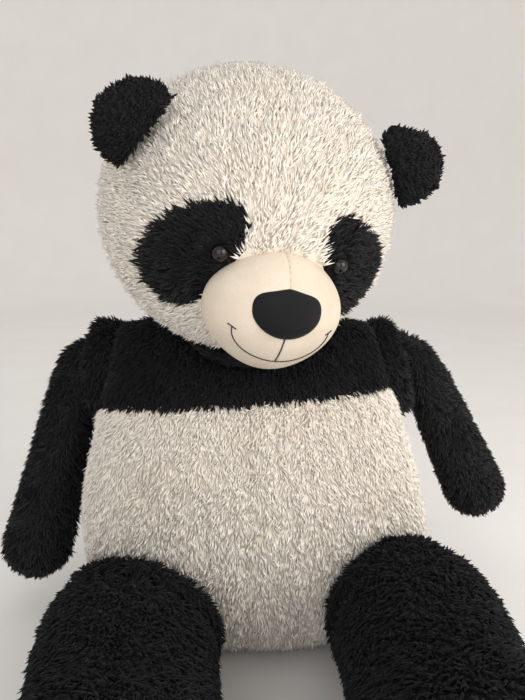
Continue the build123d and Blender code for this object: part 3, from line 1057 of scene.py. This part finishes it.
@dataclass
class Head:
    """The ball of the head with its let-in eye patches, muzzle, nose, mouth and eyes. Lengths in metres."""

    centre: Vector = Vector((0, -63 * MM, 573 * MM))
    radius: float = 166 * MM
    turn: float = 15.0
    nod: float = 15.0
    tilt: float = 7.0
    form_scale: Vector = Vector((1.06, 0.985, 1.0))
    face_seam: float = -68 * MM
    muzzle_centre: Vector = Vector((0, -150 * MM, -60 * MM))
    muzzle_half: Vector = Vector((70 * MM, 55 * MM, 64 * MM))
    nose_half_width: float = 35 * MM
    nose_half_height: float = 22 * MM
    nose_thickness: float = 8 * MM
    nose_level: float = -47 * MM
    patch_azimuth: float = 34.0
    patch_elevation: float = -6.5
    patch_length: float = 138 * MM
    patch_width: float = 84 * MM
    patch_slant: float = 42.0
    eye_azimuth: float = 23.0
    eye_elevation: float = -2.5
    eye_radius: float = 8.5 * MM
    eye_dome: float = 6.5 * MM
    eye_sink: float = 2 * MM
    shank_radius: float = 2.5 * MM
    shank_length: float = 16 * MM
    mouth_top: float = -70 * MM
    mouth_low: float = -98 * MM
    mouth_half: float = 50 * MM
    mouth_end: float = -66 * MM

    def __post_init__(self) -> None:
        """Works out the head's own frame."""
        turn = Matrix.Rotation(math.radians(self.turn), 4, "Z")
        nod = Matrix.Rotation(math.radians(self.nod), 4, "X")
        tilt = Matrix.Rotation(math.radians(self.tilt), 4, "Y")
        self.place = Matrix.Translation(self.centre) @ turn @ nod @ tilt
        self.back = np.array(self.place.inverted())

    def local(self, rows: Array) -> Array:
        """Places of the shared frame, in the head's own frame."""
        return rows @ self.back[:3, :3].T + self.back[:3, 3]

    @staticmethod
    def direction(azimuth: float, elevation: float) -> Vector:
        """A unit direction from the head's centre, in its own frame."""
        flat = math.cos(math.radians(elevation))
        return Vector((flat * math.sin(math.radians(azimuth)), -flat * math.cos(math.radians(azimuth)),
                       math.sin(math.radians(elevation))))

    def in_patch(self, side: str) -> Test:
        """A test for the let-in eye patch on one side: an egg shape, wider at its lower, outer end."""
        normal = self.direction(OUTWARD[side] * self.patch_azimuth, self.patch_elevation)
        across = Vector((0, 0, 1)).cross(normal).normalized()
        upward = normal.cross(across)
        slant = math.radians(self.patch_slant) * OUTWARD[side]

        def test(rows: Array) -> Array:
            """True inside the patch."""
            local = self.local(rows)
            u, v = local @ np.array(across), local @ np.array(upward)
            along = v * math.cos(slant) - u * math.sin(slant)
            beside = u * math.cos(slant) + v * math.sin(slant)
            half_width = self.patch_width / 2 * (1 - 0.22 * along / (self.patch_length / 2))
            facing = local @ np.array(normal) > self.radius * 0.5
            edge = 1 + 0.03 * waves(rows, 9 * MM, 5)
            return facing & ((along / (self.patch_length / 2)) ** 2 + (beside / half_width) ** 2 < edge)

        return test

    def in_muzzle(self, rows: Array) -> Array:
        """True where the muzzle stands in place of pile."""
        half = np.array(self.muzzle_half) - MM
        away = (self.local(rows) - np.array(self.muzzle_centre)) / half
        return np.linalg.norm(away, axis=1) < 1

    def near_eye(self, rows: Array) -> Array:
        """True where an eye is seated."""
        near = np.zeros(len(rows), bool)
        for side in SIDES:
            spot = self.direction(OUTWARD[side] * self.eye_azimuth, self.eye_elevation) * self.radius
            near |= np.linalg.norm(self.local(rows) - np.array(spot), axis=1) < self.eye_radius + 5 * MM
        return near

    def build(self) -> None:
        """Makes the head's pieces and lets them ride on it."""
        shape = bmesh.new()
        size = self.radius - FUR_STAND + 1 * MM
        bmesh.ops.create_icosphere(shape, subdivisions=6, radius=size)
        bmesh.ops.scale(shape, verts=shape.verts, vec=self.form_scale)
        bmesh.ops.transform(shape, verts=shape.verts, matrix=self.place)
        form = new_piece("head_form", shape)
        turned = self.place.to_3x3()
        seams = [
            Seam(self.place @ Vector((0, self.face_seam, 0)), turned @ Vector((0, 1, 0))),
            Seam(self.centre, turned @ Vector((1, 0, 0)), 2.5 * MM, 6 * MM),
        ]
        filled(form, seams)
        left = beyond(self.centre, turned @ Vector((1, 0, 0)))
        face = beyond(self.place @ Vector((0, self.face_seam, 0)), turned @ Vector((0, -1, 0)))
        panels = [
            Panel("eye_patch_pile_left", Finish.BLACK_PILE, ("eye_patch_left",), self.in_patch("left")),
            Panel("eye_patch_pile_right", Finish.BLACK_PILE, ("eye_patch_right",), self.in_patch("right")),
            Panel("face_pile_left", Finish.CREAM_PILE, ("face_panel_left", "head_stuffing"),
                  both(face, left)),
            Panel("face_pile_right", Finish.CREAM_PILE, ("face_panel_right",), face),
            Panel("head_back_pile_left", Finish.CREAM_PILE, ("head_back_left",), left),
            Panel("head_back_pile_right", Finish.CREAM_PILE, ("head_back_right",), everywhere),
        ]
        pile = Pile(seed=200, spacing=2.9 * MM, width=1.45 * MM, length=13 * MM, lean=55, swirl=22)
        coat = Coat(form, panels, self.nap, pile, lambda rows: self.in_muzzle(rows) | self.near_eye(rows))
        ride_all(coat.grow(), "head")
        muzzle = self.muzzle()
        self.nose(muzzle)
        self.mouth(muzzle)
        self.eyes()

    def nap(self, spots: Array) -> Array:
        """The pile is brushed away from the muzzle, over the forehead and down the cheeks."""
        local = self.local(spots)
        away = unit(local - np.array(self.muzzle_centre))
        turned = np.array(self.place.to_3x3())
        return away @ turned.T + np.array([0, 0, -0.25])

    def muzzle(self) -> BVHTree:
        """Makes the muzzle's two velboa halves over their stuffing.

        Returns:
            The muzzle's surface, on which the mouth is sewn.
        """
        shape = bmesh.new()
        bmesh.ops.create_icosphere(shape, subdivisions=6, radius=1.0)
        for vert in shape.verts:
            x, y, z = vert.co
            cheek = 1.05 - 0.17 * (z - 0.1) ** 2
            brow = 1 - 0.12 * max(0.0, z)
            half = self.muzzle_half
            vert.co = Vector((x * cheek * half.x, y * brow * half.y, z * half.z))
        move = self.place @ Matrix.Translation(self.muzzle_centre)
        bmesh.ops.transform(shape, verts=shape.verts, matrix=move)
        form = new_piece("muzzle_form", shape)
        middle = self.place.to_3x3() @ Vector((1, 0, 0))
        above_nose = beyond(self.place @ Vector((0, 0, -30 * MM)), self.place.to_3x3() @ Vector((0, 0, 1)))
        seams = [Seam(self.centre, middle, 1.4 * MM, 1.6 * MM, above_nose)]
        sew(form, seams)
        swell(form, 2.0, 1.5 * MM)
        relax(form, 1)
        shape = bmesh.new()
        shape.from_mesh(form.data)
        bmesh.ops.bisect_plane(shape, geom=shape.verts[:] + shape.edges[:] + shape.faces[:],
                               plane_co=self.centre, plane_no=middle)
        shape.to_mesh(form.data)
        surface = BVHTree.FromBMesh(shape)
        shape.free()
        centres = np.array([face.center[:] for face in form.data.polygons])
        on_left = beyond(self.centre, middle)(centres)
        for side, chosen in (("left", on_left), ("right", ~on_left)):
            nodes = [f"muzzle_panel_{side}"] + (["muzzle_stuffing"] if side == "left" else [])
            points, faces = cloth_of(form.data, chosen, 2 * MM)
            flat = np.ones(len(points))
            half = mesh_from(f"muzzle_cloth_{side}", points, faces, flat, flat)
            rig.ride(dress(half, Finish.CREAM_VELBOA, nodes), "head")
        bpy.data.objects.remove(form)
        return surface

    def on_muzzle(self, surface: BVHTree, x: float, z: float) -> tuple[Vector, Vector] | None:
        """Finds the muzzle's surface straight behind a spot seen from the front.

        Args:
            surface: The muzzle's surface.
            x: The spot's place across the head.
            z: The spot's height in the head's own frame.

        Returns:
            The place and the normal there, or None beside the muzzle.
        """
        start = self.place @ Vector((x, -0.4, z))
        hit, normal, _, _ = surface.ray_cast(start, self.place.to_3x3() @ Vector((0, 1, 0)))
        return None if hit is None else (hit, normal)

    def nose(self, surface: BVHTree) -> None:
        """Makes the padded nose: broad above with a slight peak, round below, domed over the muzzle.

        Args:
            surface: The muzzle's surface, which its rim follows.
        """
        shape = bmesh.new()
        bmesh.ops.create_icosphere(shape, subdivisions=5, radius=1.0)
        forward = self.place.to_3x3() @ Vector((0, -1, 0))
        for vert in shape.verts:
            across, depth, up = vert.co
            squared = 1 / math.sqrt(1 - 0.5 * across * across) if up > 0 else 1.0
            peak = 2.5 * MM * math.exp(-((across / 0.3) ** 2)) * max(up, 0.0)
            x = across * self.nose_half_width * (1 + 0.14 * up)
            z = self.nose_level + up * squared * self.nose_half_height + peak
            place, _ = self.on_muzzle(surface, x, z)
            dome = self.nose_thickness if depth < 0 else 2 * MM
            vert.co = place - forward * depth * dome
        bmesh.ops.recalc_face_normals(shape, faces=shape.faces)
        piece = new_piece("nose_pad", shape)
        relax(piece, 3)
        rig.ride(dress(piece, Finish.BLACK_VELBOA, ("nose",)), "head")

    def mouth(self, surface: BVHTree) -> None:
        """Embroiders the mouth: a line under the nose, a curve to each cheek and a tick at each end."""
        top, low, half, end = self.mouth_top, self.mouth_low, self.mouth_half, self.mouth_end
        lines = [[Vector((0, 0, top)), Vector((-1.5 * MM, 0, low))]]
        for side in SIDES:
            out = OUTWARD[side]
            bow = [Vector((-1.5 * MM, 0, low))]
            for step in range(1, 13):
                angle = math.pi / 2 * step / 12
                bow.append(Vector((out * half * math.sin(angle), 0, end - (end - low) * math.cos(angle))))
            lines.append(bow)
            tip = Vector((out * half, 0, end))
            lines.append([tip + Vector((-out * 3 * MM, 0, -0.5 * MM)),
                          tip + Vector((out * 5 * MM, 0, 3 * MM))])
        shape = bmesh.new()
        for line in lines:
            self.stitch(shape, line, surface)
        piece = new_piece("mouth_thread", shape)
        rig.ride(dress(piece, Finish.BLACK_THREAD, ("mouth_stitches",), None), "head")

    def stitch(self, shape: bmesh.types.BMesh, line: Sequence[Vector], surface: BVHTree) -> None:
        """Sews one line of thread on the muzzle, as short stitches that overlap at their ends.

        Args:
            shape: The thread so far.
            line: The line as seen from the front, in the head's own frame.
            surface: The muzzle's surface.
        """
        length, wide = 3.6 * MM, 1.5 * MM
        spots = []
        for start, finish in zip(line, line[1:]):
            steps = max(1, round((finish - start).length / (0.7 * MM)))
            spots += [start.lerp(finish, step / steps) for step in range(steps)]
        spots.append(line[-1])
        found = [self.on_muzzle(surface, spot.x, spot.z) for spot in spots]
        hits = [hit for hit in found if hit is not None]
        gone = length
        for (here, normal), (after, _) in zip(hits, hits[1:]):
            gone += (after - here).length
            if gone < length * 0.62:
                continue
            gone = 0.0
            along = (after - here).normalized()
            side = normal.cross(along).normalized()
            axes = Matrix((along, side, side.cross(along) * -1)).transposed().to_4x4()
            size = Matrix.Diagonal((length / 2, wide / 2, wide / 2, 1))
            place = Matrix.Translation(here + normal * 0.35 * MM) @ axes @ size
            bmesh.ops.create_uvsphere(shape, u_segments=8, v_segments=6, radius=1, matrix=place)

    def eyes(self) -> None:
        """Makes each eye, a polished dome with a rolled rim on its shank."""
        for side in SIDES:
            normal = self.direction(OUTWARD[side] * self.eye_azimuth, self.eye_elevation)
            shape = bmesh.new()
            ball = (self.eye_radius**2 + self.eye_dome**2) / (2 * self.eye_dome)
            spread = math.asin(self.eye_radius / ball)
            bends = [spread * k / 14 for k in range(15)]
            profile = [(ball * math.sin(bend), self.eye_dome - ball + ball * math.cos(bend))
                       for bend in bends]
            profile += [(self.eye_radius + 0.3 * MM, -0.5 * MM), (self.eye_radius - 0.4 * MM, -1.2 * MM),
                        (self.shank_radius, -1.2 * MM), (self.shank_radius, -self.shank_length),
                        (0, -self.shank_length)]
            verts = [shape.verts.new((radius, 0, height)) for radius, height in profile]
            edges = [shape.edges.new(pair) for pair in zip(verts, verts[1:])]
            bmesh.ops.spin(shape, geom=verts + edges, axis=(0, 0, 1), cent=(0, 0, 0), steps=40,
                           angle=2 * math.pi, use_merge=True)
            bmesh.ops.remove_doubles(shape, verts=shape.verts, dist=WELD)
            bmesh.ops.recalc_face_normals(shape, faces=shape.faces)
            facing = normal.to_track_quat("Z", "Y").to_matrix().to_4x4()
            seat = Matrix.Translation(normal * (self.radius - self.eye_sink)) @ facing
            bmesh.ops.transform(shape, verts=shape.verts, matrix=self.place @ seat)
            piece = new_piece(f"safety_eye_{side}", shape)
            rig.ride(dress(piece, Finish.EYE_PLASTIC, (f"eye_{side}",), None), "head")


@dataclass
class Ear:
    """One ear: a stuffed half oval, front and back panels meeting at its rim."""

    side: str
    head: Head

    def build(self) -> None:
        """Makes the ear's two panels and lets them ride on it."""
        side = self.side
        root, axis = joint(f"ear_fold_{side}")
        forward = self.head.place.to_3x3() @ Vector((0, -1, 0))
        outward = (root - self.head.centre).normalized()
        facing = (forward - outward * forward.dot(outward)).normalized()
        seams = [Seam(root, facing, 2 * MM, 5 * MM)]
        form = stuffed_form(f"ear_form_{side}", f"ear_stuffing_{side}", seams, 2.5 * MM)
        front = beyond(root, facing)
        panels = [
            Panel(f"ear_front_pile_{side}", Finish.BLACK_PILE,
                  (f"ear_front_{side}", f"ear_stuffing_{side}"), front),
            Panel(f"ear_back_pile_{side}", Finish.BLACK_PILE, (f"ear_back_{side}",), everywhere),
        ]
        pile = Pile(seed=300 if side == "left" else 310, length=7.5 * MM, lean=42)
        start = np.array(root - outward * 30 * MM)
        coat = Coat(form, panels, lambda rows: unit(rows - start), pile)
        ride_all(coat.grow(), f"ear_{side}")


# ------------------------------------------------------------------ limbs


def long_axis(mesh: bpy.types.Mesh) -> Vector:
    """The way that a long mesh lies, as a unit vector."""
    points = points_of(mesh)
    _, _, rows = np.linalg.svd(points - points.mean(axis=0), full_matrices=False)
    return Vector(rows[0])


@dataclass
class Arm:
    """One arm: a tapered pad with a seam down its inner and outer edge, and the soft gusset at its root."""

    side: str
    sleeve_rise: float = 50 * MM
    sleeve_drop: float = 84 * MM
    sleeve_half_depth: float = 49 * MM
    sleeve_in: float = 44 * MM
    sleeve_out: float = 16 * MM
    slope: float = 20 * MM

    def build(self) -> None:
        """Makes the arm's panels and gusset."""
        side = self.side
        pivot, outward = joint(f"arm_swing_{side}")
        if outward.x * OUTWARD[side] < 0:
            outward = -outward
        form = merged_copy(f"arm_form_{side}", f"arm_stuffing_{side}")
        along = long_axis(form.data)
        if along.z > 0:
            along = -along
        bpy.data.objects.remove(form)
        facing = along.cross(outward).normalized()
        if facing.y > 0:
            facing = -facing
        seams = [Seam(pivot, facing, 3 * MM, 7 * MM)]
        form = stuffed_form(f"arm_form_{side}", f"arm_stuffing_{side}", seams)
        self.round_off(form.data, pivot, outward)
        middle = points_of(form.data).mean(axis=0)
        front = beyond(middle, facing)
        panels = [
            Panel(f"arm_front_pile_{side}", Finish.BLACK_PILE,
                  (f"arm_front_{side}", f"arm_stuffing_{side}"), front),
            Panel(f"arm_back_pile_{side}", Finish.BLACK_PILE, (f"arm_back_{side}",), everywhere),
        ]
        nap = np.array(along)
        pile = Pile(seed=400 if side == "left" else 420, spacing=3.5 * MM, width=1.8 * MM)
        shoulder = np.array(pivot)

        def gain(rows: Array) -> Array:
            """The pile stands longer in the fringe round the shoulder's seam."""
            return 1 + 0.45 * np.exp(-((((rows - shoulder) @ np.array(outward)) / (16 * MM)) ** 2))

        coat = Coat(form, panels, steady(*nap), pile, None, gain)
        ride_all(coat.grow(), f"arm_{side}")
        self.gusset(pivot, outward, nap)

    def round_off(self, mesh: bpy.types.Mesh, pivot: Vector, outward: Vector) -> None:
        """Lets the arm's top fall away outwards, so that the shoulder slopes down to it."""
        points = points_of(mesh)
        beside = ((points - np.array(pivot)) @ np.array(outward) / (45 * MM)).clip(0, 1)
        above = ((points[:, 2] - pivot.z + 30 * MM) / (80 * MM)).clip(0, 1)
        points[:, 2] -= self.slope * beside * above
        put_points(mesh, points)

    def gusset(self, pivot: Vector, outward: Vector, nap: Array) -> None:
        """Makes the gusset in two rings: one follows the swing and one the lift."""
        side = self.side
        node = f"shoulder_gusset_{side}"
        shape = bmesh.new()
        turn = outward.to_track_quat("Z", "Y").to_matrix().to_4x4()
        half_height = (self.sleeve_rise + self.sleeve_drop) / 2
        middle = pivot + outward * (self.sleeve_out - self.sleeve_in) / 2
        middle.z += self.sleeve_rise - half_height
        oval = Matrix.Diagonal((self.sleeve_half_depth, half_height, 1, 1))
        bmesh.ops.create_cone(shape, cap_ends=True, segments=48, radius1=1, radius2=1,
                              depth=self.sleeve_out + self.sleeve_in,
                              matrix=Matrix.Translation(middle) @ turn @ oval)
        form = new_piece(f"gusset_form_{side}", shape)
        remesh(form, FORM_VOXEL)
        filled(form, [])
        low, high = span(form, outward)
        inner = beyond(outward * ((low + high) / 2), -outward)
        panels = [
            Panel(f"shoulder_gusset_inner_{side}", Finish.BLACK_PILE, (node,), inner),
            Panel(f"shoulder_gusset_outer_{side}", Finish.BLACK_PILE, (), everywhere),
        ]
        pile = Pile(seed=440 if side == "left" else 450, length=15 * MM, spacing=3.6 * MM, lean=34)
        made = Coat(form, panels, steady(*nap), pile).grow()
        ends = ring_ends(pivot, outward, low, (low + high) / 2, high)
        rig.blend(made[f"shoulder_gusset_inner_{side}"], "torso", f"shoulder_{side}", ends[0], ends[1])
        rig.blend(made[f"shoulder_gusset_outer_{side}"], f"shoulder_{side}", f"arm_{side}", ends[1], ends[2])


@dataclass
class Leg:
    """One leg lying forward, its foot upright: outer and inner panels, sole and hip gusset."""

    side: str
    sole_depth: float = 10 * MM

    def build(self) -> None:
        """Makes the leg's panels, its sole and its gusset."""
        side = self.side
        pivot, across = joint(f"leg_lift_{side}")
        if across.x * OUTWARD[side] < 0:
            across = -across
        forward = across.cross(Vector((0, 0, 1))) * OUTWARD[side]
        if forward.y > 0:
            forward = -forward
        node = f"leg_stuffing_{side}"
        toe = max(points_of(frame["nodes"][f"sole_{side}"].data) @ np.array(forward))
        sole_point = forward * (float(toe) - self.sole_depth - FUR_STAND)
        seams = [
            Seam(pivot, across, 3 * MM, 7 * MM),
            Seam(sole_point, forward, 2.5 * MM, 6 * MM),
        ]
        form = stuffed_form(f"leg_form_{side}", node, seams)
        sole = beyond(sole_point, forward)
        outer = beyond(pivot, across)
        panels = [
            Panel(f"sole_pile_{side}", Finish.BLACK_PILE, (f"sole_{side}",), sole),
            Panel(f"leg_outer_pile_{side}", Finish.BLACK_PILE, (f"leg_outer_{side}", node), outer),
            Panel(f"leg_inner_pile_{side}", Finish.BLACK_PILE, (f"leg_inner_{side}",), everywhere),
        ]
        nap = np.array(forward * 0.8 + Vector((0, 0, -0.5)))
        pile = Pile(seed=500 if side == "left" else 520, spacing=4.0 * MM, width=2.2 * MM)
        coat = Coat(form, panels, steady(*nap), pile, self.bare)
        ride_all(coat.grow(), f"leg_{side}")
        self.gusset(pivot, forward, nap)

    @staticmethod
    def bare(spots: Array) -> Array:
        """No pile stands under the leg."""
        return spots[:, 2] < 9 * MM

    def gusset(self, pivot: Vector, forward: Vector, nap: Array) -> None:
        """Makes the gusset in two rings: one follows the splay and one the lift."""
        side = self.side
        node = f"hip_gusset_{side}"
        form = stuffed_form(f"hip_form_{side}", node, [], 1 * MM)
        low, high = span(form, forward)
        middle = (low + high) / 2
        inner = beyond(forward * middle, -forward)
        panels = [
            Panel(f"hip_gusset_inner_{side}", Finish.BLACK_PILE, (node,), inner),
            Panel(f"hip_gusset_outer_{side}", Finish.BLACK_PILE, (), everywhere),
        ]
        pile = Pile(seed=540 if side == "left" else 550, spacing=4.0 * MM, width=2.2 * MM)
        made = Coat(form, panels, steady(*nap), pile, self.bare).grow()
        ends = ring_ends(pivot, forward, low, middle, high)
        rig.blend(made[f"hip_gusset_inner_{side}"], "torso", f"hip_{side}", ends[0], ends[1])
        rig.blend(made[f"hip_gusset_outer_{side}"], f"hip_{side}", f"leg_{side}", ends[1], ends[2])


@dataclass
class Neck:
    """The short soft neck between the torso's hollow and the head, a ring round a core."""

    def build(self) -> None:
        """Makes both pieces of the neck, one across each of its outer joints."""
        pivot, _ = joint("head_turn")
        down = Vector((0, -0.1, -1)).normalized()
        for node, name, bodies, seed in (("neck_ring", "neck_collar_pile", ("torso", "neck_lower"), 600),
                                         ("neck_stuffing", "neck_core_pile", ("neck_upper", "head"), 610)):
            form = stuffed_form(f"{name}_form", node, [], 0.5 * MM)
            pile = Pile(seed=seed, spacing=5 * MM, length=6 * MM)
            panel = Panel(name, Finish.BLACK_PILE, (node,), everywhere)
            near, far = ring_ends(pivot, down, *span(form, down))
            made = Coat(form, [panel], steady(0.0, -1.0, 0.2), pile).grow()
            start, end = (far, near) if bodies[0] == "torso" else (near, far)
            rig.blend(made[name], bodies[0], bodies[1], start, end)


# ------------------------------------------------------------------ carried-over nodes and the studio


def finish_plain_nodes() -> None:
    """Gives the CAD shapes that stay as they are their finishes."""
    kept = {"closing_stitches": Finish.CREAM_THREAD}
    for side in SIDES:
        kept[f"eye_washer_{side}"] = Finish.WASHER_PLASTIC
    for node, finish in kept.items():
        target = frame["nodes"][node]
        target.data.materials.clear()
        target.data.materials.append(MATERIALS[finish])
        log.info("%s: finish %s", node, finish.value.name)


@dataclass
class Studio:
    """A pale floor that curves up to a wall all round, a large soft light from the toy's left and a fill."""

    floor_radius: float = 3.2
    bend_radius: float = 1.0
    wall_height: float = 2.6
    camera_place: tuple[float, float, float] = (0.017, -0.81, 0.565)
    camera_pitch: float = 78.0
    camera_lens: float = 31.17
    surround: str = "#e6e5e3"
    surround_strength: float = 1.1
    floor: str = "#ebe9e6"
    floor_mottle: str = "#e5e2de"

    def build(self) -> None:
        """Makes the floor, the lights, the surround and the camera."""
        scene = bpy.context.scene
        scene.view_settings.view_transform = "Standard"
        shape = bmesh.new()
        bends = [math.radians(angle) for angle in range(0, 91, 10)]
        profile = [(0.0, 0.0)]
        profile += [(self.floor_radius + self.bend_radius * math.sin(bend),
                     self.bend_radius * (1 - math.cos(bend))) for bend in bends]
        profile.append((self.floor_radius + self.bend_radius, self.wall_height))
        verts = [shape.verts.new((radius, 0, height)) for radius, height in profile]
        edges = [shape.edges.new(pair) for pair in zip(verts, verts[1:])]
        bmesh.ops.spin(shape, geom=verts + edges, axis=(0, 0, 1), cent=(0, 0, 0), steps=96,
                       angle=2 * math.pi, use_merge=True)
        bmesh.ops.remove_doubles(shape, verts=shape.verts, dist=WELD)
        bmesh.ops.recalc_face_normals(shape, faces=shape.faces)
        floor = new_piece("studio_floor", shape)
        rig.stage(floor)
        floor.data.materials.append(self.floor_material())
        world = bpy.data.worlds.new("pale_surround")
        scene.world = world
        world.use_nodes = True
        background = world.node_tree.nodes["Background"]
        background.inputs["Color"].default_value = linear(self.surround)
        background.inputs["Strength"].default_value = self.surround_strength
        self.light("window_light", (1.5, -1.2, 0.95), (0.0, -0.05, 0.35), 1.4, 27.0, "#fffaf4")
        self.light("fill_light", (-0.3, -2.0, 0.9), (0.0, -0.05, 0.25), 1.6, 15.0, "#f6f7ff")
        camera_data = bpy.data.cameras.new("studio_camera")
        camera_data.lens = self.camera_lens
        camera_data.clip_start = 0.01
        camera = bpy.data.objects.new("studio_camera", camera_data)
        camera.location = self.camera_place
        camera.rotation_euler = (math.radians(self.camera_pitch), 0, 0)
        scene.collection.objects.link(camera)
        scene.camera = camera

    def floor_material(self) -> bpy.types.Material:
        """Matt painted board with a faint mottle."""
        material, tree, output = new_material("matt_painted_board")
        mottle = noise(tree, 1 / 6)
        surfaced(tree, output, {"Base Color": mixed(tree, mottle, self.floor, self.floor_mottle),
                                "Roughness": 0.7})
        return material

    @staticmethod
    def light(name: str, place: Sequence[float], target: Sequence[float], size: float, power: float,
              colour: str) -> None:
        """Adds one square soft light.

        Args:
            name: The light's name.
            place: Where it hangs.
            target: What it faces.
            size: Its side, in metres.
            power: Its power, in watts.
            colour: Its colour, as sRGB hex.
        """
        data = bpy.data.lights.new(name, "AREA")
        data.size = size
        data.energy = power
        data.color = linear(colour)[:3]
        lamp = bpy.data.objects.new(name, data)
        lamp.location = place
        way = Vector(target) - Vector(place)
        lamp.rotation_euler = way.to_track_quat("-Z", "Y").to_euler()
        bpy.context.scene.collection.objects.link(lamp)


def main() -> None:
    """Builds the panda piece by piece, then the studio."""
    logging.basicConfig(level=logging.INFO, format="%(name)s %(message)s")
    Studio().build()
    Torso().build()
    Neck().build()
    head = Head()
    head.build()
    for side in SIDES:
        Ear(side, head).build()
        Arm(side).build()
        Leg(side).build()
    finish_plain_nodes()
    boxes = [[list(map(float, corner)) for corner in box] for box in (CAD_BOX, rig.bounds())]
    with open("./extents.json", "w") as size_file:
        json.dump(boxes, size_file)


if __name__ == "__main__":
    main()
